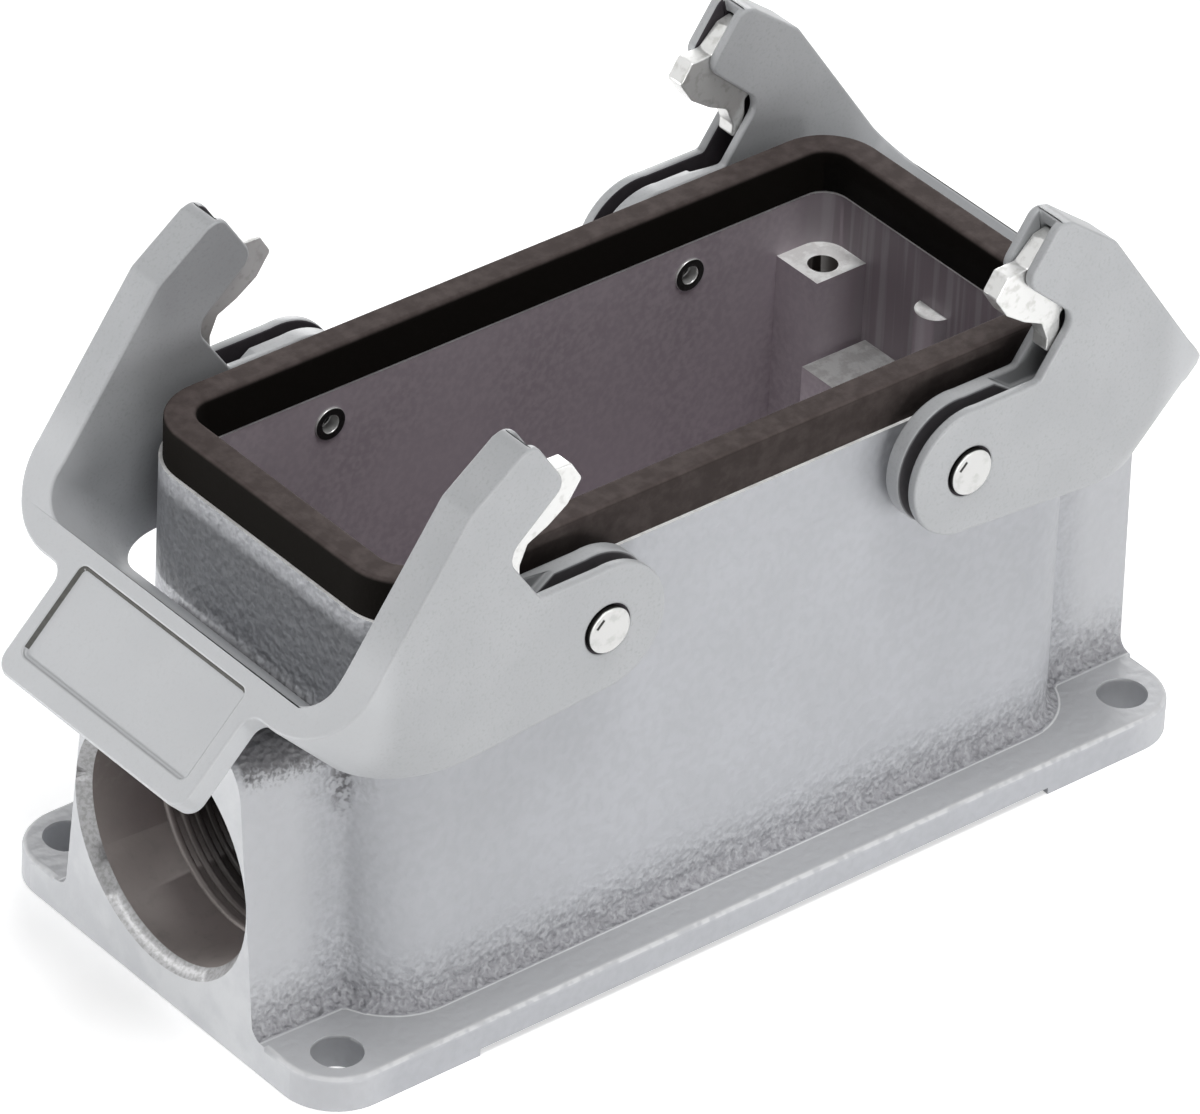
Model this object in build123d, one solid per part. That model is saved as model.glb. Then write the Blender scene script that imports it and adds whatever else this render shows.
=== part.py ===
from build123d import *
import math
import os

# Rectangular connector housing, surface mounting, with one cable entry and two locking levers
# Millimetres; X runs along the housing with the cable entry at -X, Z is up
# The origin is the middle of the housing's footprint, on the mounting plane

# Box of the casting, measured outside at its rim
box_length = 92.6
box_width = 42.4
rim_height = 50.7
box_corner_radius = 7.0
wall_draft = 0.4
end_wall = 3.8
side_wall = 3.7
cavity_corner_radius = 3.0
rim_edge_chamfer = 0.3
foot_fillet = 1.6

# Flange that the box stands on
flange_thickness = 4.0
flange_end_margin = 11.7
flange_side_margin = 6.3
flange_corner_radius = 6.5
flange_edge_radius = 0.7
foot_strip_length = 20.0
underside_relief = 0.8
floor_above_relief = 2.8
mounting_hole_diameter = 5.5
mounting_hole_end_distance = 5.5
mounting_hole_side_distance = 5.0

# Bosses on the two end walls; the one at -X is bored for the cable gland
boss_half_width = 16.0
boss_root_half_width_top = 15.0
boss_root_corner = 2.5
entry_end_half_width_top = 12.4
entry_end_corner = 5.5
closed_end_half_width_top = 15.2
closed_end_corner = 3.0
boss_clearance = 0.7
boss_to_wall_fillet = 2.2
entry_bore_radius = 13.2
entry_chamfer = 1.0
entry_chamfer_depth = 1.4
entry_axis_height = 18.05

# Posts that carry the contact insert, and their screw holes
post_length = 6.7
post_width = 6.6
insert_depth = 6.4
insert_hole_end_distance = 3.75
insert_hole_side_distance = 4.0
insert_thread_bore = 3.3
insert_thread_depth = 12.0

# Small cast features on the closed end wall: a half-round rib and a low ledge
rib_radius = 2.2
rib_depth = 2.0
ledge_length = 8.7
ledge_width = 6.1
ledge_from_middle = 4.2
ledge_below_post = 9.3

# Rubber seal on the rim, held by a tongue in a groove
seal_height = 5.1
seal_outer_step = 0.4
seal_inner_step = 0.1
seal_edge_radius = 0.6
groove_width = 1.5
groove_depth = 2.0
tongue_clearance = 0.1

# Lever pivots
pivot_end_distance = 22.6
pivot_below_rim = 4.1
pin_radius = 1.9
pin_press_clearance = 0.01
pin_running_clearance = 0.05
pin_head_radius = 2.6
pin_head_thickness = 0.9
pin_head_recess = 0.5
pin_head_clearance = 0.2
pin_end_proud = 0.3
pin_end_bore_radius = 1.0
pin_end_bore_depth = 1.5
washer_radius = 4.0
washer_face_clearance = 0.04

# Lever, one moulding: two double-walled arms joined by a bar with a handle plate
arm_gap = 1.55
arm_thickness = 4.65
arm_outer_plate = 1.2
pivot_slot_width = 1.45
hook_slot_width = 2.4
bar_wall = 3.35
lever_outer_corner = 8.75
lever_inner_corner = 4.25
handle_width = 30.6
handle_reach = 12.0
handle_thickness = 2.8
handle_corner = 2.0
handle_root_fillet = 1.8
handle_recess_width = 26.8
handle_recess_inner = 1.6
handle_recess_outer = 9.3
handle_recess_depth = 0.45
handle_recess_corner = 0.8
lever_tilt = 45.0

# Lever side profile, measured outward from the pivot and upward from it
boss_end_radius = 7.4
crease_outward = 35.45
crease_up = -2.25
arm_bottom_drop = 9.6
heel_inner = (33.1, 0.1)
heel_edge = (29.6, 4.4)
shoulder = (18.2, 20.8)
tip_back = (12.1, 25.4)
tip = (10.2, 26.0)
nose = (6.1, 20.0)
notch = (13.3, 13.7)
notch_mouth = (8.8, 7.3)
boss_top = (0.7, 7.33)
boss_bottom = (-0.55, -7.33)
shoulder_radius = 2.0
tip_radius = 1.6
nose_radius = 1.8
notch_radius = 2.2
mouth_radius = 0.6

# Slots that part the two walls of each arm, in the same coordinates
hook_slot = [
    (10.9, 24.1),
    (17.5, 19.5),
    (22.6, 11.6),
    (18.3, 5.4),
    (7.8, 5.4),
    (-3.7, 13.4),
    (-3.7, 29.0),
    (9.7, 29.0),
]
pivot_slot = [
    (13.3, -5.5),
    (3.3, -5.5),
    (3.3, -12.0),
    (-11.7, -12.0),
    (-11.7, 9.4),
    (9.7, 9.4),
    (18.3, 5.4),
]

# Stamped steel hook that lines each notch
hook_thickness = 2.2
hook_corner_radius = 0.5
hook_outline = [
    (3.1, 18.7),
    (4.8, 16.2),
    (7.3, 14.5),
    (9.7, 13.4),
    (10.6, 11.2),
    (10.5, 9.0),
    (11.5, 9.8),
    (12.2, 12.0),
    (12.1, 13.8),
    (14.3, 15.4),
    (17.4, 18.9),
    (11.2, 23.7),
    (9.5, 23.3),
    (7.2, 21.0),
    (4.5, 20.9),
]

# Sizes that follow from the driving dimensions
flange_length = box_length + 2 * flange_end_margin
flange_width = box_width + 2 * flange_side_margin
hole_x = flange_length / 2 - mounting_hole_end_distance
hole_y = flange_width / 2 - mounting_hole_side_distance
cavity_length = box_length - 2 * end_wall
cavity_width = box_width - 2 * side_wall
cavity_floor = underside_relief + floor_above_relief
post_top = rim_height - insert_depth
insert_x = cavity_length / 2 - insert_hole_end_distance
insert_y = cavity_width / 2 - insert_hole_side_distance
pivot_x = box_length / 2 - pivot_end_distance
pivot_z = rim_height - pivot_below_rim
arm_inner_y = box_width / 2 + arm_gap
arm_outer_y = arm_inner_y + arm_thickness
plate_inner_y = arm_outer_y - arm_outer_plate
boss_top_z = pivot_z - arm_bottom_drop - boss_clearance
pivot_slot_y = plate_inner_y - pivot_slot_width / 2
hook_slot_y = plate_inner_y - hook_slot_width / 2

hole_align = (Align.CENTER, Align.CENTER, Align.MAX)

os.makedirs("parts", exist_ok=True)


def write(node, shape):
    export_step(shape, f"parts/{node}.step")


def block(x_from, x_to, y_from, y_to, z_from, z_to):
    size = (x_to - x_from, y_to - y_from, z_to - z_from)
    middle = ((x_from + x_to) / 2, (y_from + y_to) / 2, (z_from + z_to) / 2)
    return Pos(*middle) * Box(*size)


def rounded_prism(length, width, corner, z_from, z_to):
    outline = Pos(0, 0, z_from) * RectangleRounded(length, width, corner)
    return extrude(outline, z_to - z_from)


def ring(length, width, corner, hole_length, hole_width, hole_corner, z_from, z_to):
    outer = rounded_prism(length, width, corner, z_from, z_to)
    return outer - rounded_prism(hole_length, hole_width, hole_corner, z_from, z_to)


# Housing casting


def wall_lean(height):
    return height * math.tan(math.radians(wall_draft))


def box_half_width_at(z):
    return box_width / 2 + wall_lean(rim_height - z)


def flange():
    return rounded_prism(flange_length, flange_width, flange_corner_radius, 0, flange_thickness)


def box():
    height = rim_height - underside_relief
    lean = wall_lean(height)
    foot = RectangleRounded(box_length + 2 * lean, box_width + 2 * lean, box_corner_radius + lean)
    return extrude(Pos(0, 0, underside_relief) * foot, height, taper=wall_draft)


def boss_section(x, half_width_top, corner):
    outline = make_face(
        Polyline(
            (-boss_half_width, underside_relief),
            (boss_half_width, underside_relief),
            (half_width_top, boss_top_z),
            (-half_width_top, boss_top_z),
            close=True,
        )
    )
    outline = fillet(outline.vertices().group_by(Axis.Y)[-1], corner)
    return Plane(origin=(x, 0, 0), x_dir=(0, 1, 0), z_dir=(1, 0, 0)) * outline


def boss(side, end_half_width_top, end_corner):
    root = box_length / 2 - end_wall / 2
    end = flange_length / 2
    sections = [
        boss_section(side * root, boss_root_half_width_top, boss_root_corner),
        boss_section(side * end, end_half_width_top, end_corner),
    ]
    return loft(sections)


def root_edges(casting):
    # Where the bosses meet the end walls
    found = []
    for edge in casting.edges():
        middle = edge.center()
        at_end_wall = abs(abs(middle.X) - box_length / 2) < boss_to_wall_fillet / 2
        beside_boss = abs(middle.Y) < boss_half_width and middle.Z < boss_top_z + wall_draft
        if at_end_wall and beside_boss and middle.Z > 2 * flange_thickness:
            found.append(edge)
    return found


def foot_edges(casting):
    # Where the box and the bosses stand on the flange, without the flange's own outline
    found = []
    for edge in casting.edges().filter_by_position(Axis.Z, flange_thickness, flange_thickness):
        middle = edge.center()
        inside_ends = abs(middle.X) < flange_length / 2 - foot_fillet
        inside_sides = abs(middle.Y) < box_half_width_at(0) + foot_fillet
        if inside_ends and inside_sides:
            found.append(edge)
    return found


def flange_envelope():
    # Rounds the flange's upper edge, except where the bosses rise from it
    plate = fillet(flange().edges().group_by(Axis.Z)[-1], flange_edge_radius)
    inset = 2 * flange_edge_radius
    inner_corner = flange_corner_radius - flange_edge_radius
    top = 2 * rim_height
    above = rounded_prism(flange_length - inset, flange_width - inset, inner_corner, 0, top)
    end = flange_length / 2
    side = boss_half_width + foot_fillet
    return plate + above + block(-end, end, -side, side, 0, top)


def casting():
    solid = flange() + box()
    solid += boss(-1, entry_end_half_width_top, entry_end_corner)
    solid += boss(1, closed_end_half_width_top, closed_end_corner)
    solid = fillet(root_edges(solid), boss_to_wall_fillet)
    solid = fillet(foot_edges(solid), foot_fillet)
    return solid & flange_envelope()


def corner_posts():
    inner_x = cavity_length / 2 - post_length
    inner_y = cavity_width / 2 - post_width
    reach_x = cavity_length / 2 + cavity_corner_radius / 2
    reach_y = cavity_width / 2 + cavity_corner_radius / 2
    post = block(inner_x, reach_x, inner_y, reach_y, 0, post_top)
    posts = [post, post.mirror(Plane.YZ), post.mirror(Plane.XZ), post.mirror(Plane.YZ).mirror(Plane.XZ)]
    return Part() + posts


def end_wall_rib():
    axis_x = cavity_length / 2 + rib_radius - rib_depth
    return Pos(axis_x, 0, post_top / 2) * Cylinder(rib_radius, post_top)


def end_wall_ledge():
    wall = cavity_length / 2
    far = ledge_from_middle + ledge_width
    top = post_top - ledge_below_post
    return block(wall - ledge_length, wall + end_wall / 2, ledge_from_middle, far, 0, top)


def cavity():
    hollow = rounded_prism(cavity_length, cavity_width, cavity_corner_radius, cavity_floor, 2 * rim_height)
    return hollow - corner_posts() - end_wall_rib() - end_wall_ledge()


def rim_cuts():
    edge = 2 * rim_edge_chamfer
    low = rim_height - rim_edge_chamfer
    opening = Pos(0, 0, low) * RectangleRounded(cavity_length, cavity_width, cavity_corner_radius)
    wide_corner = cavity_corner_radius + rim_edge_chamfer
    wide = RectangleRounded(cavity_length + edge, cavity_width + edge, wide_corner)
    bevel = loft([opening, Pos(0, 0, rim_height) * wide])
    return bevel + groove_ring(groove_width, rim_height - groove_depth, rim_height)


def groove_ring(width, z_from, z_to):
    # A ring centred in the wall, for the groove and for the seal's tongue
    middle_length = box_length - end_wall
    middle_width = box_width - side_wall
    middle_corner = (box_corner_radius + cavity_corner_radius) / 2
    return ring(
        middle_length + width,
        middle_width + width,
        middle_corner + width / 2,
        middle_length - width,
        middle_width - width,
        middle_corner - width / 2,
        z_from,
        z_to,
    )


def entry_bore():
    end = -flange_length / 2
    length = flange_length / 2 - cavity_length / 2
    towards_cavity = Plane(origin=(end, 0, entry_axis_height), x_dir=(0, 1, 0), z_dir=(1, 0, 0))
    bore = extrude(towards_cavity * Circle(entry_bore_radius), 1.5 * length)
    mouth = loft(
        [
            towards_cavity * Circle(entry_bore_radius + entry_chamfer),
            towards_cavity.offset(entry_chamfer_depth) * Circle(entry_bore_radius),
        ]
    )
    return bore + mouth


def drilled_holes():
    cuts = []
    for hole in GridLocations(2 * hole_x, 2 * hole_y, 2, 2):
        cuts.append(hole * Cylinder(mounting_hole_diameter / 2, 3 * flange_thickness))
    for hole in GridLocations(2 * insert_x, 2 * insert_y, 2, 2):
        thread = Cylinder(insert_thread_bore / 2, insert_thread_depth, align=hole_align)
        cuts.append(hole * Pos(0, 0, post_top) * thread)
    for x in (-pivot_x, pivot_x):
        across = Rot(90, 0, 0) * Cylinder(pin_radius + pin_press_clearance, 2 * box_width)
        cuts.append(Pos(x, 0, pivot_z) * across)
    return cuts


def housing():
    relief_half = flange_length / 2 - foot_strip_length
    relief = block(-relief_half, relief_half, -flange_width, flange_width, 0, underside_relief)
    solid = casting() - cavity() - rim_cuts() - entry_bore() - relief
    for cut in drilled_holes():
        solid -= cut
    return solid


# Rim seal


def rim_seal():
    top = rim_height + seal_height
    outer = 2 * seal_outer_step
    inner = 2 * seal_inner_step
    band = ring(
        box_length - outer,
        box_width - outer,
        box_corner_radius - seal_outer_step,
        cavity_length - inner,
        cavity_width - inner,
        cavity_corner_radius - seal_inner_step,
        rim_height,
        top,
    )
    band = fillet(band.edges().filter_by_position(Axis.Z, top, top), seal_edge_radius)
    tongue_width = groove_width - 2 * tongue_clearance
    return band + groove_ring(tongue_width, rim_height - groove_depth + tongue_clearance, rim_height)


# Levers; every shape below is the entry lever's, at rest in its open position


def side_point(outward, up):
    # From the pivot to the shared X and Z
    return (-pivot_x - outward, pivot_z + up)


def side_face(points, radii):
    # An outline seen from the side, with a corner radius for each of its points
    places = [side_point(*point) for point in points]
    outline = make_face(Polyline(*places, close=True))
    for place, radius in zip(places, radii):
        if radius:
            corner = outline.vertices().sort_by_distance((*place, 0))[0]
            outline = fillet(corner, radius)
    return Plane.XZ * outline


def side_prism(points, radii, y_from, y_to):
    middle = (y_from + y_to) / 2
    return Pos(0, middle, 0) * extrude(side_face(points, radii), (y_to - y_from) / 2, both=True)


def lever_side():
    # The silhouette from the side: horn, notch, boss end, lower edge, heel
    crease = (crease_outward, crease_up)
    heel_bottom = (crease_outward - arm_bottom_drop - crease_up, -arm_bottom_drop)
    points = [tip, nose, notch, notch_mouth, boss_top, boss_bottom, heel_bottom]
    points += [crease, heel_inner, heel_edge, shoulder, tip_back]
    radii = [tip_radius, nose_radius, notch_radius, mouth_radius, 0, 0, 0, 0, 0, 0, shoulder_radius, 0]
    reach = arm_outer_y + bar_wall
    outline = side_prism(points, radii, -reach, reach)
    boss_end = Pos(-pivot_x, 0, pivot_z) * Rot(90, 0, 0) * Cylinder(boss_end_radius, 2 * reach)
    return outline + boss_end


def lever_plane():
    # Lies on the bar's upper edge and the handle plate, Y across and outward-up towards the pivot
    x, z = side_point(crease_outward, crease_up)
    lean = math.radians(lever_tilt)
    return Plane(origin=(x, 0, z), x_dir=(0, 1, 0), z_dir=(math.cos(lean), 0, -math.sin(lean)))


def open_ended(half_width, y_from, corner):
    # A U with rounded corners at y_from, open towards the horns
    length = 4 * crease_outward
    outline = Pos(0, y_from + length / 2) * Rectangle(2 * half_width, length)
    return fillet(outline.vertices().group_by(Axis.Y)[0], corner)


def u_wall():
    section = open_ended(arm_outer_y, 0, lever_outer_corner)
    section -= open_ended(arm_inner_y, bar_wall, lever_inner_corner)
    return extrude(lever_plane() * section, 2 * crease_outward, both=True)


def handle_plate():
    half = handle_width / 2
    root = half + handle_root_fillet
    outline = make_face(
        Polyline(
            (-root, bar_wall / 2),
            (-root, 0),
            (-half, 0),
            (-half, -handle_reach),
            (half, -handle_reach),
            (half, 0),
            (root, 0),
            (root, bar_wall / 2),
            close=True,
        )
    )
    outline = fillet(outline.vertices().group_by(Axis.Y)[0], handle_corner)
    for side in (-half, half):
        root_corner = outline.vertices().sort_by_distance((side, 0, 0))[0]
        outline = fillet(root_corner, handle_root_fillet - 0.01)
    return extrude(lever_plane() * outline, handle_thickness)


def handle_recess():
    length = handle_recess_inner + handle_recess_outer
    middle = (handle_recess_inner - handle_recess_outer) / 2
    pocket = Pos(0, middle) * RectangleRounded(handle_recess_width, length, handle_recess_corner)
    return extrude(lever_plane() * pocket, handle_recess_depth)


def slot_pair(points, width, y_middle):
    cut = side_prism(points, [0] * len(points), y_middle - width / 2, y_middle + width / 2)
    return cut + cut.mirror(Plane.XZ)


def entry_lever():
    solid = (lever_side() & u_wall()) + handle_plate() - handle_recess()
    solid -= slot_pair(hook_slot, hook_slot_width, hook_slot_y)
    solid -= slot_pair(pivot_slot, pivot_slot_width, pivot_slot_y)
    for side in (-1, 1):
        across = Pos(-pivot_x, side * arm_outer_y, pivot_z) * Rot(90, 0, 0)
        solid -= across * Cylinder(pin_radius + pin_running_clearance, 4 * arm_thickness)
        solid -= across * Cylinder(pin_head_radius + pin_head_clearance, 2 * pin_head_recess)
    return solid


# Steel hooks, pins and washers; each function makes the front one of the entry lever


def hook():
    half = hook_thickness / 2
    radii = [hook_corner_radius] * len(hook_outline)
    return side_prism(hook_outline, radii, -hook_slot_y - half, -hook_slot_y + half)


def along_pivot(y_from, y_to, radius):
    middle = Pos(-pivot_x, (y_from + y_to) / 2, pivot_z)
    return middle * Rot(90, 0, 0) * Cylinder(radius, y_to - y_from)


def pin():
    head_seat = -arm_outer_y + pin_head_recess
    inner_end = -cavity_width / 2 + pin_end_proud
    head = along_pivot(head_seat - pin_head_thickness, head_seat, pin_head_radius)
    shank = along_pivot(head_seat, inner_end, pin_radius)
    drilling = along_pivot(inner_end - pin_end_bore_depth, inner_end, pin_end_bore_radius)
    return head + shank - drilling


def washer():
    wall = -box_half_width_at(pivot_z - washer_radius) - washer_face_clearance
    lever_side_face = -arm_inner_y + washer_face_clearance
    body = along_pivot(lever_side_face, wall, washer_radius)
    return body - along_pivot(lever_side_face, wall, pin_radius + pin_running_clearance)


def write_both_ends(name, front_shape):
    # The same piece at the entry end and at the far end, front and back
    far_front = front_shape.mirror(Plane.YZ)
    write(f"entry_{name}_front", front_shape)
    write(f"entry_{name}_back", front_shape.mirror(Plane.XZ))
    write(f"far_{name}_front", far_front)
    write(f"far_{name}_back", far_front.mirror(Plane.XZ))


write("housing", housing())
write("rim_seal", rim_seal())
lever = entry_lever()
write("entry_lever", lever)
write("far_lever", lever.mirror(Plane.YZ))
write_both_ends("hook", hook())
write_both_ends("pin", pin())
write_both_ends("washer", washer())
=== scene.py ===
import math

import bpy
from mathutils import Matrix, Vector


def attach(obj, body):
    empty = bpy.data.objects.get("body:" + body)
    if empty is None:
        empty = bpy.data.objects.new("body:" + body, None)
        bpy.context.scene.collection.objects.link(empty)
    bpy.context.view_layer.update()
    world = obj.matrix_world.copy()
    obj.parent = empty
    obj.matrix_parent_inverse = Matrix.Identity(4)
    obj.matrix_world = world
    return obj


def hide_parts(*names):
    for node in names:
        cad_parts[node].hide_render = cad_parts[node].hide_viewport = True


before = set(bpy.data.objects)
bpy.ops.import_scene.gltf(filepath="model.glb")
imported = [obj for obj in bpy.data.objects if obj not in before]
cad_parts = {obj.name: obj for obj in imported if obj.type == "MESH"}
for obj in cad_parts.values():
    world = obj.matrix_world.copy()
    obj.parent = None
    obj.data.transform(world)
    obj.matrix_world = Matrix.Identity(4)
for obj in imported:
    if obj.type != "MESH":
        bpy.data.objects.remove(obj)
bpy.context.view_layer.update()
mm = 0.001

# Camera: a long lens that looks down on the front and the cable-entry end of the connector.
# It has the slight roll of the photograph, and its shift only sets the framing.


def direction(azimuth, elevation):
    # Unit vector away from the object, in degrees; azimuth 0 is the front and turns towards +X
    turn, lift = math.radians(azimuth), math.radians(elevation)
    return Vector(
        (math.sin(turn) * math.cos(lift), -math.cos(turn) * math.cos(lift), math.sin(lift))
    )


camera_azimuth, camera_elevation = -40.722, 34.688
camera_roll = math.radians(2.757)
camera_distance = 1054.74 * mm
camera_target = Vector((0, 0, 30 * mm))
sensor_width = 36
picture_width, focal_length = 1200, 10260.96  # in pixels, like the two shifts
shift_right, shift_up = -12.25, 1.86

back = direction(camera_azimuth, camera_elevation)
level = direction(camera_azimuth + 90, 0)
above = back.cross(level)
right = math.cos(camera_roll) * level + math.sin(camera_roll) * above
upward = -math.sin(camera_roll) * level + math.cos(camera_roll) * above
camera_data = bpy.data.cameras.new("camera")
camera_data.lens = focal_length * sensor_width / picture_width
camera_data.sensor_width = sensor_width
camera_data.shift_x = shift_right / picture_width
camera_data.shift_y = shift_up / picture_width
camera_data.clip_start = 0.01
camera_data.clip_end = 20
camera = bpy.data.objects.new("camera", camera_data)
camera.matrix_world = Matrix.Translation(camera_target + back * camera_distance) @ (
    Matrix((right, upward, back)).transposed().to_4x4()
)
bpy.context.scene.collection.objects.link(camera)
bpy.context.scene.camera = camera


# Housing: one aluminium die casting with a light grey powder coat. The coat is smooth on the
# ends of the bosses, and coarse round the foot and in the corners. The inside of the box has a
# thin satin coat, and the insert posts are milled bare.


def named_material(name, slot_color):
    material = bpy.data.materials.new(name)
    material.use_nodes = True
    material.diffuse_color = (*slot_color, 1)
    return material


def add_node(material, kind, **settings):
    node = material.node_tree.nodes.new(kind)
    for key, value in settings.items():
        setattr(node, key, value)
    return node


def link(material, source, target):
    material.node_tree.links.new(source, target)


def place_of(material, stretch=(1, 1, 1)):
    # Object coordinates in millimetres, stretched along any axis
    coordinates = add_node(material, "ShaderNodeTexCoord")
    mapping = add_node(material, "ShaderNodeMapping")
    mapping.inputs["Scale"].default_value = [1 / mm * part for part in stretch]
    link(material, coordinates.outputs["Object"], mapping.inputs["Vector"])
    return mapping.outputs["Vector"]


def part_of(material, place, axis):
    split = add_node(material, "ShaderNodeSeparateXYZ")
    link(material, place, split.inputs["Vector"])
    return split.outputs[axis]


def speckle(material, place, scale, detail=3.0, roughness=0.55):
    noise = add_node(material, "ShaderNodeTexNoise")
    noise.inputs["Scale"].default_value = scale
    noise.inputs["Detail"].default_value = detail
    noise.inputs["Roughness"].default_value = roughness
    link(material, place, noise.inputs["Vector"])
    return noise.outputs["Fac"]


def calculate(material, operation, first, second):
    sums = add_node(material, "ShaderNodeMath", operation=operation)
    for socket, value in zip(sums.inputs, (first, second)):
        if isinstance(value, (int, float)):
            socket.default_value = value
        else:
            link(material, value, socket)
    return sums.outputs["Value"]


def absolute(material, value):
    return calculate(material, "ABSOLUTE", value, 0)


def times(material, first, *others):
    for other in others:
        first = calculate(material, "MULTIPLY", first, other)
    return first


def largest(material, first, *others):
    for other in others:
        first = calculate(material, "MAXIMUM", first, other)
    return first


def spread(material, value, low, high, to_low=0.0, to_high=1.0):
    # A soft step from one amount to another while the value goes from low to high
    remap = add_node(material, "ShaderNodeMapRange", interpolation_type="SMOOTHSTEP")
    remap.inputs["From Min"].default_value = low
    remap.inputs["From Max"].default_value = high
    remap.inputs["To Min"].default_value = to_low
    remap.inputs["To Max"].default_value = to_high
    link(material, value, remap.inputs["Value"])
    return remap.outputs["Result"]


def fade(material, value, low, high, amount=1.0):
    return spread(material, value, low, high, amount, 0.0)


def band(material, value, rise, fall):
    # Nothing outside a band of the value, which starts over one range and ends over another
    return times(material, spread(material, value, *rise), fade(material, value, *fall))


def blend_colors(material, factor, first, second):
    mix = add_node(material, "ShaderNodeMix", data_type="RGBA")
    for name, color in (("A", first), ("B", second)):
        socket = [s for s in mix.inputs if s.name == name and s.type == "RGBA"][0]
        if isinstance(color, tuple):
            socket.default_value = (*color, 1)
        else:
            link(material, color, socket)
    link(material, factor, mix.inputs["Factor"])
    return [s for s in mix.outputs if s.type == "RGBA"][0]


def paint_over(material, tone, *layers):
    # Each layer is a mask and the colour that covers what lies below it
    for mask, color in layers:
        tone = blend_colors(material, mask, tone, color)
    return tone


def set_surface(material, tone, roughness, metallic=0.0, specular=0.5):
    shader = material.node_tree.nodes["Principled BSDF"]
    link(material, tone, shader.inputs["Base Color"])
    shader.inputs["Roughness"].default_value = roughness
    shader.inputs["Metallic"].default_value = metallic
    shader.inputs["Specular IOR Level"].default_value = specular


def raise_surface(material, height, depth, strength):
    bump = add_node(material, "ShaderNodeBump")
    bump.inputs["Distance"].default_value = depth * mm
    if isinstance(strength, float):
        bump.inputs["Strength"].default_value = strength
    else:
        link(material, strength, bump.inputs["Strength"])
    link(material, height, bump.inputs["Height"])
    shader = material.node_tree.nodes["Principled BSDF"]
    link(material, bump.outputs["Normal"], shader.inputs["Normal"])


def where_coarse_and_shaded(material, along, height):
    # Where the coat is coarse and painted shade darkens it: in the fillet at the foot, low and high
    # in the corners beside the bosses, and less on the end walls above the bosses
    at_foot = times(
        material,
        spread(material, height, 4.015, 4.06),
        fade(material, height, 4.6, 12.5, 0.85),
    )
    low_or_high = largest(
        material,
        spread(material, height, 9, 15, 0.7, 0.2),
        spread(material, height, 26, 31, 0.0, 0.65),
    )
    beside_boss = times(
        material,
        band(material, along, (44, 47.2), (48, 53)),
        low_or_high,
        spread(material, height, 4.02, 4.2),
    )
    end_wall = times(
        material, spread(material, along, 45.4, 45.9), spread(material, height, 31, 35), 0.5
    )
    return largest(material, at_foot, beside_boss, end_wall)


def shade_under_bar(material, endways, along, height, grain, wrinkle):
    # Painted shadow of the lever's bar: dark on top of the entry boss, and in a ragged streak in
    # the corner above it
    entry_side = fade(material, endways, -1, 0)
    ragged = calculate(material, "ADD", height, spread(material, grain, 0.3, 0.7, -0.7, 0.7))
    shadow_on_boss_top = times(
        material,
        spread(material, endways, -57.6, -57),
        spread(material, along, 46.6, 47.2),
        entry_side,
        spread(material, ragged, 32.4, 34.4, 0.0, 0.72),
    )
    streak = times(
        material,
        band(material, along, (46.1, 46.6), (47.2, 48.6)),
        entry_side,
        spread(material, ragged, 25.5, 31, 0.0, 0.8),
        fade(material, height, 32, 35.5),
        spread(material, wrinkle, 0.4, 0.6, 1.0, 0.25),
    )
    return largest(material, shadow_on_boss_top, streak)


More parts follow.
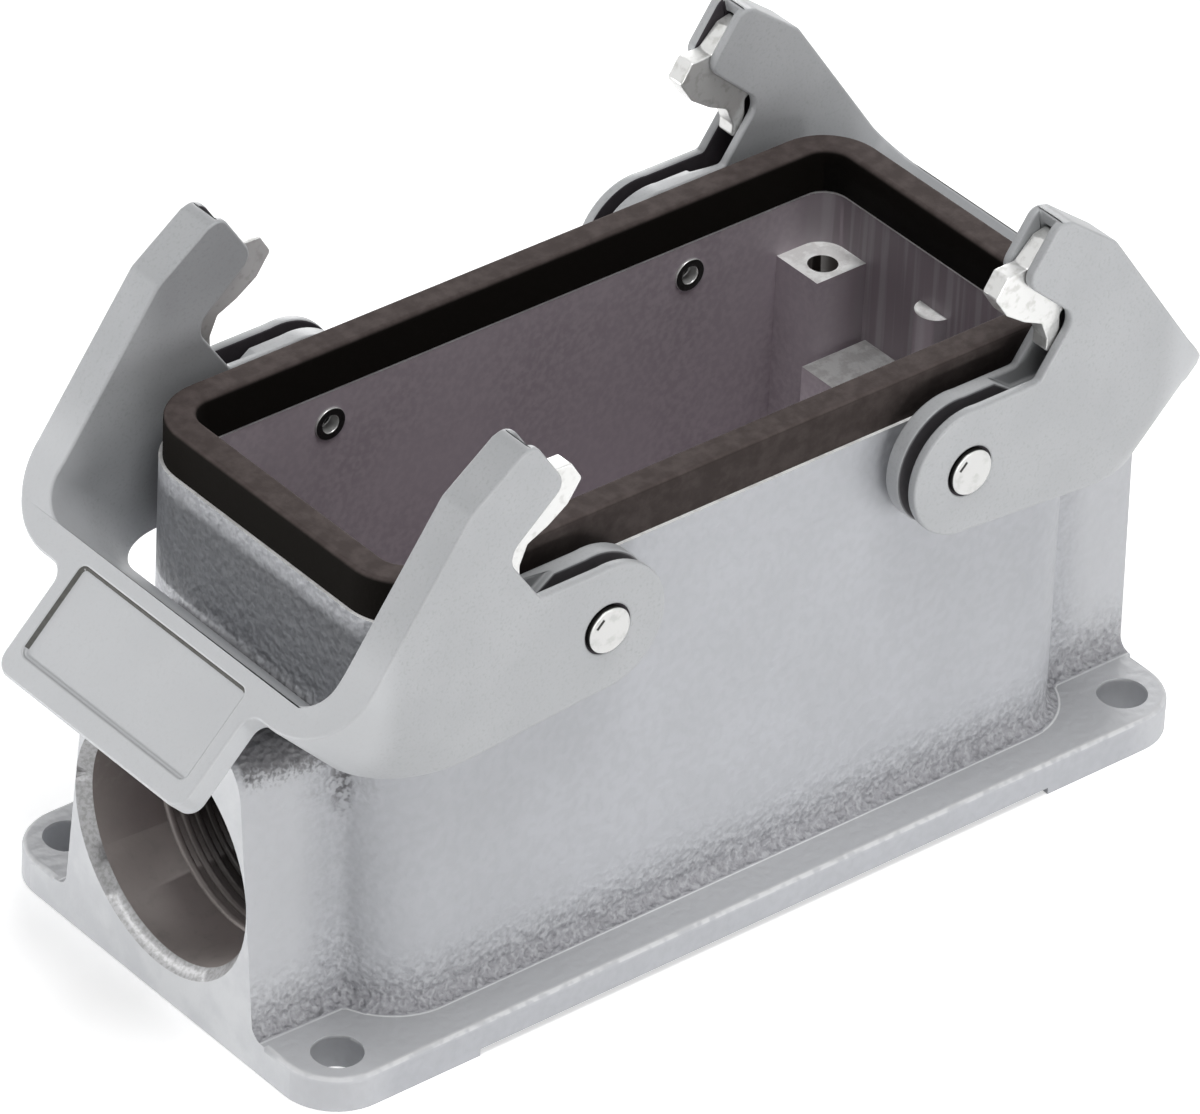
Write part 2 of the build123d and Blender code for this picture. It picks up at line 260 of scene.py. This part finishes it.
def powder_coat():
    # Nearly smooth on the open walls, and coarse where the coat gathers, with painted shade and
    # painted highlights there. The flange, whose top is at height 4, is paler, with painted
    # highlights along its edge and at the foot, and the painted shadow of the lever's bar lies on
    # the entry boss.
    material = named_material("grey_powder_coat", (0.5, 0.51, 0.54))
    place = place_of(material)
    endways = part_of(material, place, "X")
    along = absolute(material, endways)
    height = part_of(material, place, "Z")
    peel = speckle(material, place, 0.95, 0.8, 0.4)
    grain = speckle(material, place, 2.4, 1.0, 0.5)
    cloud = speckle(material, place, 0.08, 2.0, 0.5)
    wrinkle = speckle(material, place, 1.8, 0.8, 0.4)
    coarse_and_shaded = where_coarse_and_shaded(material, along, height)
    flange_top = band(material, height, (3.7, 3.95), (3.98, 4.03))
    # Painted highlights: a thin pale line at the foot, and a band along the flange's top edge
    foot_highlight = band(material, height, (4.0, 4.004), (4.01, 4.03))
    flange_edge_highlight = times(
        material,
        band(material, height, (3.55, 3.7), (3.92, 3.98)),
        spread(material, peel, 0.35, 0.6, 0.2, 0.8),
    )
    foot_shade = times(
        material, fade(material, height, 4.02, 9.5, 0.6), spread(material, height, 4.01, 4.05)
    )
    # Painted shade where the wrinkles dip and painted highlight on their crests, in the coarse
    # places
    hollow_shade = times(material, coarse_and_shaded, spread(material, wrinkle, 0.36, 0.58, 0.62, 0.05))
    ridge_highlight = times(material, coarse_and_shaded, spread(material, wrinkle, 0.52, 0.66, 0.0, 0.3))
    specks = times(material, coarse_and_shaded, fade(material, grain, 0.3, 0.42, 0.3))
    under_bar = shade_under_bar(material, endways, along, height, grain, wrinkle)
    tone = paint_over(
        material,
        (0.44, 0.449, 0.474),
        (spread(material, cloud, 0.3, 0.7), (0.463, 0.472, 0.5)),
        # painted shade where the orange peel dips
        (fade(material, peel, 0.35, 0.65, 0.35), (0.4, 0.41, 0.43)),
        (flange_top, (0.5, 0.505, 0.515)),
        (foot_highlight, (0.75, 0.755, 0.76)),
        (flange_edge_highlight, (0.68, 0.685, 0.69)),
        # painted light on the sides of the bosses towards their ends
        (spread(material, along, 48, 53, 0.0, 0.5), (0.6, 0.607, 0.625)),
        (foot_shade, (0.25, 0.246, 0.265)),
        (hollow_shade, (0.27, 0.268, 0.285)),
        (ridge_highlight, (0.6, 0.607, 0.62)),
        (specks, (0.1, 0.09, 0.1)),
        (under_bar, (0.03, 0.026, 0.028)),
    )
    set_surface(material, tone, 0.48, specular=0.45)
    relief = calculate(material, "ADD", peel, times(material, grain, 0.15))
    relief = calculate(material, "ADD", relief, times(material, wrinkle, coarse_and_shaded, 0.7))
    strength = calculate(material, "ADD", times(material, coarse_and_shaded, 0.8), 0.16)
    raise_surface(material, relief, 0.85, strength)
    return material


def smooth_coat():
    material = named_material("grey_coat_smooth", (0.54, 0.55, 0.57))
    place = place_of(material)
    cloud = spread(material, speckle(material, place, 0.2, 4.0, 0.6), 0.35, 0.65)
    tone = blend_colors(material, cloud, (0.54, 0.55, 0.57), (0.6, 0.61, 0.625))
    set_surface(material, tone, 0.5)
    raise_surface(material, speckle(material, place, 2.5), 0.1, 0.25)
    return material


def inside_coat():
    # Grey-violet satin, with pale drawing marks that run down the end walls only, and painted shade
    # that darkens the end walls
    material = named_material("inside_satin_coat", (0.3, 0.26, 0.29))
    place = place_of(material)
    streaks = speckle(material, place_of(material, (0.2, 1, 0.03)), 0.8, 2.0, 0.5)
    grain = speckle(material, place, 1.3, 3.0, 0.55)
    cloud = speckle(material, place, 0.06, 2.0, 0.5)
    at_end = spread(material, absolute(material, part_of(material, place, "X")), 36, 42)
    marked = times(material, spread(material, streaks, 0.48, 0.62), at_end)
    tone = paint_over(
        material,
        (0.36, 0.31, 0.345),
        (spread(material, cloud, 0.3, 0.7), (0.42, 0.365, 0.405)),
        (spread(material, grain, 0.35, 0.7), (0.45, 0.395, 0.43)),
        (at_end, (0.23, 0.195, 0.215)),
        (marked, (0.31, 0.28, 0.3)),
    )
    set_surface(material, tone, 0.5)
    raise_surface(material, grain, 0.05, 0.2)
    return material


def milled_metal():
    material = named_material("milled_aluminium", (0.75, 0.75, 0.74))
    blotch = speckle(material, place_of(material), 0.55, 4.0, 0.65)
    pale = spread(material, blotch, 0.4, 0.58)
    set_surface(
        material, blend_colors(material, pale, (0.78, 0.77, 0.76), (0.97, 0.97, 0.96)), 0.4
    )
    raise_surface(material, blotch, 0.06, 0.3)
    return material


def bored_metal():
    # Bare casting inside the bore, browner and darker above, with painted light that makes it paler
    # along the bottom, and painted shade that makes it nearly black at its inner end
    material = named_material("bored_metal", (0.25, 0.22, 0.21))
    place = place_of(material)
    blotch = speckle(material, place, 0.6, 4.0, 0.6)
    tone = paint_over(
        material,
        (0.24, 0.21, 0.2),
        (fade(material, part_of(material, place, "Z"), 4, 26), (0.55, 0.5, 0.48)),
        (spread(material, blotch, 0.5, 0.75, 0, 0.6), (0.42, 0.39, 0.37)),
        (spread(material, part_of(material, place, "X"), -50, -44), (0.02, 0.016, 0.014)),
    )
    set_surface(material, tone, 0.45, metallic=0.2)
    raise_surface(material, blotch, 0.12, 0.4)
    return material


def cut_edge():
    # The coat where the mouth of the bore is cut through it
    material = named_material("cut_edge", (0.45, 0.45, 0.46))
    specks = speckle(material, place_of(material), 2.2, 3.0, 0.6)
    pale = spread(material, specks, 0.35, 0.6)
    tone = blend_colors(material, pale, (0.36, 0.36, 0.36), (0.5, 0.5, 0.51))
    set_surface(material, tone, 0.45, metallic=0.2)
    raise_surface(material, specks, 0.08, 0.5)
    return material


def select_nothing():
    bpy.ops.object.select_all(action="DESELECT")


def activate(piece):
    select_nothing()
    piece.select_set(True)
    bpy.context.view_layer.objects.active = piece


def open_welded(piece):
    # Edit mode with everything selected, and points at one place joined into one
    activate(piece)
    bpy.ops.object.mode_set(mode="EDIT")
    bpy.ops.mesh.select_all(action="SELECT")
    bpy.ops.mesh.remove_doubles(threshold=0.002 * mm)


def solid_from(node, name):
    # A welded copy of a CAD node, with its flat areas joined into single faces
    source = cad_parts[node]
    piece = bpy.data.objects.new(name, source.data.copy())
    bpy.context.scene.collection.objects.link(piece)
    piece.data.materials.clear()
    open_welded(piece)
    bpy.ops.mesh.dissolve_limited(angle_limit=math.radians(0.3))
    bpy.ops.object.mode_set(mode="OBJECT")
    return piece


def apply_modifier(piece, modifier):
    activate(piece)
    bpy.ops.object.modifier_apply(modifier=modifier.name)


def smooth_over(piece, angle=40):
    # Soft shading over rounded edges, with the large flat faces kept flat
    activate(piece)
    bpy.ops.object.shade_smooth_by_angle(angle=math.radians(angle))
    even = piece.modifiers.new("flat faces", "WEIGHTED_NORMAL")
    even.keep_sharp = True
    apply_modifier(piece, even)


def hand_over(piece, body, slot, *nodes):
    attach(piece, body)
    if nodes:
        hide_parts(*nodes)


def thread_ridge(name, start, radius, pitch, turns, rise, steps):
    # A helical ridge of triangular section that stands inwards from the wall of a hole along X
    width = 0.8 * pitch
    sunk = radius + 0.05
    corners = [(0, 0, sunk), (width / 2, 0, radius - rise), (width, 0, sunk)]
    select_nothing()
    bpy.ops.mesh.primitive_circle_add(vertices=3, radius=mm, location=(0, 0, 0))
    ridge = bpy.context.object
    ridge.name = name
    for point, corner in zip(ridge.data.vertices, corners):
        point.co = Vector(corner) * mm
    turning = ridge.modifiers.new("turns", "SCREW")
    turning.axis = "X"
    turning.screw_offset = pitch * mm
    turning.iterations = turns
    turning.steps = steps
    turning.render_steps = steps
    turning.use_merge_vertices = False
    apply_modifier(ridge, turning)
    bpy.ops.object.mode_set(mode="EDIT")
    bpy.ops.mesh.select_all(action="DESELECT")
    bpy.ops.mesh.select_non_manifold()
    bpy.ops.mesh.edge_face_add()
    bpy.ops.mesh.select_all(action="SELECT")
    bpy.ops.transform.translate(value=Vector(start) * mm)
    bpy.ops.object.mode_set(mode="OBJECT")
    open_welded(ridge)
    bpy.ops.mesh.normals_make_consistent(inside=False)
    bpy.ops.mesh.select_all(action="DESELECT")
    bpy.ops.object.mode_set(mode="OBJECT")
    return ridge


rim_z, post_z, ledge_z = 50.7, 44.3, 35.0
cavity_end, cavity_side, cavity_floor = 42.5, 17.5, 3.6
boss_end, mouth_cut_end, bore_inner_end = 58.0, 56.6, 34
bore_axis_z, bore_radius = 18.05, 13.2
insert_hole_x, insert_hole_y, insert_hole_radius = 38.75, 13.5, 1.65
powder, smooth, inside, milled, bored, cut = range(6)


def near(value, target, gap=0.1):
    return abs(value - target) < gap


def housing_finish(centre, normal):
    x, y, z = centre / mm
    from_bore = math.hypot(y, z - bore_axis_z)
    in_bore = -boss_end + 0.05 < x < -bore_inner_end and from_bore < bore_radius + 1.1
    if in_bore:
        return cut if x < -mouth_cut_end else bored
    if near(z, rim_z, 0.4) and normal.z > 0.3:
        return milled
    in_cavity = abs(x) < cavity_end + 0.35 and abs(y) < cavity_side + 0.35
    if in_cavity and (near(z, post_z) or near(z, ledge_z)) and normal.z > 0.9:
        return milled
    from_screw = math.hypot(abs(x) - insert_hole_x, abs(y) - insert_hole_y)
    if in_cavity and from_screw < insert_hole_radius + 0.05 and z < post_z - 0.02:
        return bored
    if in_cavity and z > cavity_floor - 0.1:
        return inside
    if near(abs(x), boss_end, 0.05) and abs(normal.x) > 0.9:
        return smooth
    return powder


housing = solid_from("housing", "housing_casting")
smooth_over(housing, 30)
housing_finishes = (
    powder_coat(), smooth_coat(), inside_coat(), milled_metal(), bored_metal(), cut_edge()
)
for finish in housing_finishes:
    housing.data.materials.append(finish)
for face in housing.data.polygons:
    face.material_index = housing_finish(face.center, face.normal)
hand_over(housing, "housing_body", "coated_casting", "housing")

entry_thread = thread_ridge(
    "entry_bore_thread",
    start=(-49.5, 0, bore_axis_z),
    radius=bore_radius,
    pitch=1.5,
    turns=5,
    rise=0.2,
    steps=64,
)
entry_thread.data.materials.append(housing.data.materials[bored])
hand_over(entry_thread, "housing_body", "coated_casting")


# Rim seal: a moulded black rubber ring, pressed into the groove of the rim by its tongue.
# It is matt; its top and long outer sides are painted a little browner and lighter as painted
# light, and its other faces near black as painted shade.


def seal_rubber():
    # The top and the long outer sides are painted greyer as painted light, and the rest is painted
    # black as painted shade
    material = named_material("seal_rubber", (0.05, 0.043, 0.04))
    place = place_of(material)
    facing = add_node(material, "ShaderNodeTexCoord").outputs["Normal"]
    facing_up = spread(material, part_of(material, facing, "Z"), 0.2, 0.9)
    sideways = absolute(material, part_of(material, facing, "Y"))
    across = absolute(material, part_of(material, place, "Y"))
    outside = times(
        material, spread(material, sideways, 0.5, 0.95, 0, 0.55), spread(material, across, 18, 20)
    )
    patches = spread(material, speckle(material, place, 0.5, 4.0, 0.6), 0.35, 0.7)
    lit_tone = blend_colors(material, patches, (0.072, 0.058, 0.055), (0.105, 0.086, 0.082))
    lit_faces = largest(material, facing_up, outside)
    tone = blend_colors(material, lit_faces, (0.006, 0.005, 0.004), lit_tone)
    set_surface(material, tone, 0.8, specular=0.06)
    raise_surface(material, speckle(material, place, 3.0), 0.08, 0.3)
    return material


seal = solid_from("rim_seal", "rim_seal_ring")
smooth_over(seal)
seal.data.materials.append(seal_rubber())
hand_over(seal, "housing_body", "seal_rubber", "rim_seal")


# Locking levers: each is one moulding with two double-walled arms, the bar and the handle plate.
# The surface is smooth light grey, with edges that the mould has rounded.


def lever_moulding():
    # The handle plates are painted a little paler as painted light, and painted shade darkens the
    # inner faces of the entry lever's arms at both ends
    material = named_material("lever_moulding", (0.5, 0.51, 0.525))
    place = place_of(material)
    endways = part_of(material, place, "X")
    across = absolute(material, part_of(material, place, "Y"))
    height = part_of(material, place, "Z")
    cloud = spread(material, speckle(material, place, 0.12, 3.0, 0.5), 0.3, 0.7)
    grain = speckle(material, place, 3.0, 2.0, 0.5)
    plate = spread(material, absolute(material, endways), 49, 53, 0.0, 0.6)
    low_or_high = largest(
        material,
        spread(material, height, 46, 52, 0.9, 0.3),
        spread(material, height, 60, 66, 0.3, 0.5),
    )
    inner_face_shade = times(
        material,
        fade(material, across, 22.7, 22.85),
        band(material, endways, (-46, -40), (-24, -16)),
        low_or_high,
    )
    tone = blend_colors(material, cloud, (0.415, 0.424, 0.436), (0.445, 0.454, 0.466))
    fine = spread(material, grain, 0.25, 0.5)
    tone = blend_colors(material, fine, (0.385, 0.394, 0.402), tone)
    tone = paint_over(
        material, tone, (plate, (0.58, 0.59, 0.605)), (inner_face_shade, (0.13, 0.13, 0.14))
    )
    set_surface(material, tone, 0.42)
    raise_surface(material, grain, 0.05, 0.2)
    return material


def slot_shade():
    # Painted shade, near black and rough, deep inside the slots and round the pin heads, while the
    # moulding's grey stays near their lips
    material = named_material("slot_inside", (0.05, 0.045, 0.05))
    place = place_of(material)
    patches = speckle(material, place, 0.8)
    across = absolute(material, part_of(material, place, "Y"))
    tone = blend_colors(material, patches, (0.02, 0.016, 0.02), (0.05, 0.042, 0.05))
    deep = spread(material, across, 24.55, 24.8)
    tone = blend_colors(material, deep, (0.38, 0.39, 0.4), tone)
    set_surface(material, tone, 0.8)
    return material


def recess_shadow():
    # Painted shadow, finely speckled, along two sides of the sunk plate
    material = named_material("recess_shadow", (0.12, 0.12, 0.115))
    patches = speckle(material, place_of(material), 1.5)
    tone = blend_colors(material, patches, (0.07, 0.068, 0.062), (0.16, 0.158, 0.15))
    set_surface(material, tone, 0.9)
    return material


def round_edges(piece, width):
    bevel = piece.modifiers.new("rounded edges", "BEVEL")
    bevel.width = width * mm
    bevel.segments = 2
    bevel.limit_method = "ANGLE"
    bevel.angle_limit = math.radians(35)
    bevel.use_clamp_overlap = False
    bevel.harden_normals = False
    apply_modifier(piece, bevel)


pivot_x, pivot_z = 23.7, 46.6
arm_inside_y, arm_outside_y, outer_plate = 22.75, 27.4, 1.2
pin_seat_radius, lever_rounding = 2.86, 0.3
moulded, slot_dark, shadowed_edge = range(3)


def faces_out_of_slot(x, z, normal):
    # True for a slot's floor, which faces out of the arm from well inside its outline
    outward, up = abs(x) - pivot_x, z - pivot_z
    inside_outline = 2.0 < outward < 22.0 and -11 < up < 20 and math.hypot(outward, up) < 23
    return inside_outline and normal.z > -0.2


def in_slot(centre, normal):
    # The two walls and the floor of a slot, and the seat of the pin's head
    x, y, z = centre / mm
    from_pivot = math.hypot(abs(x) - pivot_x, z - pivot_z)
    between = arm_inside_y + 0.5 < abs(y) < arm_outside_y - outer_plate + 0.1
    wall = between and abs(normal.y) > 0.9
    slot_inside_y = 24.75 if from_pivot < 8 else 23.8
    deep = between and abs(y) > slot_inside_y and abs(normal.y) < 0.3
    seat = from_pivot < pin_seat_radius and abs(y) > arm_outside_y - 0.6
    return wall or (deep and faces_out_of_slot(x, z, normal)) or seat


def plate_place(point):
    # Outward along the tilted plate, and up from its plane, in millimetres
    x, z = abs(point.x) / mm, point.z / mm
    return (x - z) * math.sqrt(0.5), (x + z) * math.sqrt(0.5)


def plate_upward(normal, side):
    return (side * normal.x + normal.z) * math.sqrt(0.5)


def recess_edges(piece, side):
    # Faces in the inner corner of the recess, along its upper edge and its back end
    facing_up = [face for face in piece.data.polygons if plate_upward(face.normal, side) > 0.999]
    sunk = max(facing_up, key=lambda face: face.area)
    spots = [piece.data.vertices[v].co for v in sunk.vertices]
    nearest = min(plate_place(spot)[0] for spot in spots)
    back_end = max(spot.y for spot in spots) / mm
    depth = plate_place(sunk.center)[1]
    reach = 0.6
    found = []
    for face in piece.data.polygons:
        out, up = plate_place(face.center)
        y = face.center.y / mm
        tilted = -0.2 < plate_upward(face.normal, side) < 0.97
        at_upper_edge = nearest - reach < out < nearest + 0.03
        at_back_end = back_end - 0.03 < y < back_end + reach
        on_plate = nearest - reach < out < nearest + 8.5 and abs(y) < back_end + reach
        on_wall = depth - 0.05 < up < depth + 0.4
        if tilted and (at_upper_edge or at_back_end) and on_plate and on_wall:
            found.append(face.index)
    return found


lever_finishes = (lever_moulding(), slot_shade(), recess_shadow())
for end, side in (("entry", -1), ("far", 1)):
    lever = solid_from(f"{end}_lever", f"{end}_lever_moulding")
    round_edges(lever, lever_rounding)
    smooth_over(lever)
    for finish in lever_finishes:
        lever.data.materials.append(finish)
    for face in lever.data.polygons:
        face.material_index = slot_dark if in_slot(face.center, face.normal) else moulded
    for index in recess_edges(lever, side):
        lever.data.polygons[index].material_index = shadowed_edge
    hand_over(lever, f"{end}_lever_body", "lever_moulding", f"{end}_lever")


# Steel pieces: the stamped stainless hooks that line the lever notches, and the pivot pins that
# are riveted through the wall, each with a flat head in a sunk seat of its arm.


def pin_nick_and_shade(material, place, pin_x):
    # A pin has one short dark nick in its head, and painted shade on the side of its head, on the
    # ring of its inner end and at the bottom of the drilling there
    from_x = calculate(material, "SUBTRACT", part_of(material, place, "X"), pin_x)
    from_z = calculate(material, "SUBTRACT", part_of(material, place, "Z"), pivot_z)
    across = absolute(material, part_of(material, place, "Y"))
    on_head = spread(material, across, 26, 26.2)
    lengthways = calculate(material, "ADD", calculate(material, "ADD", from_x, from_z), 0.08)
    crossways = calculate(material, "SUBTRACT", from_z, from_x)
    crossways = calculate(material, "SUBTRACT", crossways, 2.5)
    nick = times(
        material,
        fade(material, absolute(material, lengthways), 0.75, 1.0),
        fade(material, absolute(material, crossways), 0.18, 0.34),
        on_head,
    )
    head_side_shade = times(material, on_head, fade(material, across, 27.64, 27.74))
    end_ring_shade = fade(material, across, 17.24, 17.3)
    drilling_shade = band(material, across, (18.6, 18.68), (20, 21))
    return largest(material, nick, head_side_shade, end_ring_shade, drilling_shade)


def bright_steel(name, dull, shining, pin_x=None):
    material = named_material(name, (0.8, 0.8, 0.79))
    place = place_of(material)
    marks = speckle(material, place, 0.8, 3.0, 0.55)
    tone = blend_colors(material, spread(material, marks, 0.3, 0.5), dull, shining)
    if pin_x is not None:
        tone = paint_over(material, tone, (pin_nick_and_shade(material, place, pin_x), (0.02, 0.02, 0.018)))
    set_surface(material, tone, 0.25, metallic=0.55)
    raise_surface(material, marks, 0.008, 0.15)
    return material


def bend_corners(piece, radius):
    # Corners of the stamped outline, which run across the strip, become soft bends
    activate(piece)
    bpy.ops.object.mode_set(mode="EDIT")
    bpy.ops.mesh.select_mode(type="EDGE")
    bpy.ops.mesh.select_all(action="DESELECT")
    bpy.ops.object.mode_set(mode="OBJECT")
    beside = {edge.key: [] for edge in piece.data.edges}
    for face in piece.data.polygons:
        for key in face.edge_keys:
            beside[key].append(face.normal)
    for edge in piece.data.edges:
        first, second = (piece.data.vertices[v].co for v in edge.vertices)
        across = abs((second - first).normalized().y) > 0.98
        normals = beside[edge.key]
        bent = len(normals) == 2 and normals[0].angle(normals[1]) > math.radians(12)
        edge.select = across and bent
    bpy.ops.object.mode_set(mode="EDIT")
    bpy.ops.mesh.bevel(offset=radius * mm, segments=4, clamp_overlap=True)
    bpy.ops.mesh.select_mode(type="VERT")
    bpy.ops.object.mode_set(mode="OBJECT")


hook_bend, hook_rounding, pin_rounding = 0.55, 0.15, 0.2
hook_steel = bright_steel("bright_steel", (0.62, 0.62, 0.6), (0.78, 0.78, 0.77))
for end, pin_x in (("entry", -pivot_x), ("far", pivot_x)):
    pin_steel = bright_steel(
        f"{end}_pin_steel", (0.54, 0.54, 0.53), (0.64, 0.64, 0.63), pin_x
    )
    for side in ("front", "back"):
        hook = solid_from(f"{end}_hook_{side}", f"{end}_steel_hook_{side}")
        bend_corners(hook, hook_bend)
        round_edges(hook, hook_rounding)
        smooth_over(hook)
        hook.data.materials.append(hook_steel)
        hand_over(hook, f"{end}_lever_body", "stainless_steel", f"{end}_hook_{side}")
        pin = solid_from(f"{end}_pin_{side}", f"{end}_pivot_pin_{side}")
        round_edges(pin, pin_rounding)
        smooth_over(pin)
        pin.data.materials.append(pin_steel)
        hand_over(pin, "housing_body", "stainless_steel", f"{end}_pin_{side}")


# Spacer washers: black plastic rings, moulded with a slight sheen. Each fills the gap between
# an arm and the wall, and is held there by the pivot pin that passes through it.


def washer_plastic():
    material = named_material("washer_plastic", (0.03, 0.03, 0.03))
    patches = speckle(material, place_of(material), 1.0)
    tone = blend_colors(material, patches, (0.02, 0.02, 0.02), (0.04, 0.038, 0.036))
    set_surface(material, tone, 0.5)
    return material


black_plastic = washer_plastic()
for end in ("entry", "far"):
    for side in ("front", "back"):
        washer = solid_from(f"{end}_washer_{side}", f"{end}_spacer_washer_{side}")
        smooth_over(washer)
        washer.data.materials.append(black_plastic)
        hand_over(washer, "housing_body", "washer_plastic", f"{end}_washer_{side}")


# Studio: a sheet of pale paper just under the foot, and large soft lamps round the object. Paper
# and background show white to the camera and in reflections, and light the object only softly.


def paper():
    material = named_material("paper", (0.9, 0.9, 0.9))
    shader = material.node_tree.nodes["Principled BSDF"]
    shader.inputs["Base Color"].default_value = (0.92, 0.92, 0.92, 1)
    shader.inputs["Roughness"].default_value = 0.8
    shader.inputs["Specular IOR Level"].default_value = 0.1
    shader.inputs["Emission Color"].default_value = (1, 1, 1, 1)
    rays = add_node(material, "ShaderNodeLightPath").outputs
    seen = largest(material, rays["Is Camera Ray"], rays["Is Glossy Ray"])
    link(material, times(material, seen, 0.5), shader.inputs["Emission Strength"])
    return material


select_nothing()
bpy.ops.mesh.primitive_plane_add(size=6, location=(0, 0, -0.05 * mm))
floor = bpy.context.object
floor.name = "paper_floor"
floor.data.materials.append(paper())

world = bpy.data.worlds.new("studio")
world.use_nodes = True
bpy.context.scene.world = world
surround = world.node_tree.nodes["Background"]
surround.inputs["Color"].default_value = (1, 1, 1, 1)
rays = add_node(world, "ShaderNodeLightPath").outputs
seen = largest(world, rays["Is Camera Ray"], rays["Is Glossy Ray"], rays["Is Transmission Ray"])
link(world, spread(world, seen, 0, 1, 0.28, 1.0), surround.inputs["Strength"])


def soft_lamp(name, azimuth, elevation, reach, width, height, share):
    # share is the part of full light that the lamp gives a surface that faces it
    lamp_data = bpy.data.lights.new(name, "AREA")
    lamp_data.shape = "RECTANGLE"
    lamp_data.size = width
    lamp_data.size_y = height
    lamp_data.energy = share * math.pi ** 2 * reach ** 2
    lamp = bpy.data.objects.new(name, lamp_data)
    towards = direction(azimuth, elevation)
    lamp.location = camera_target + towards * reach
    lamp.rotation_mode = "QUATERNION"
    lamp.rotation_quaternion = towards.to_track_quat("Z", "Y")
    lamp.visible_camera = False
    bpy.context.scene.collection.objects.link(lamp)


soft_lamp("front_strip", 5, -1.5, reach=0.42, width=0.4, height=0.03, share=0.44)
soft_lamp("left_strip", -115, -4, reach=0.27, width=0.3, height=0.02, share=0.48)
soft_lamp("top_lamp", -10, 76, reach=0.9, width=0.4, height=0.4, share=0.5)
soft_lamp("back_lamp", 140, 15, reach=0.9, width=0.4, height=0.4, share=0.4)

bpy.context.scene.view_settings.view_transform = "Standard"
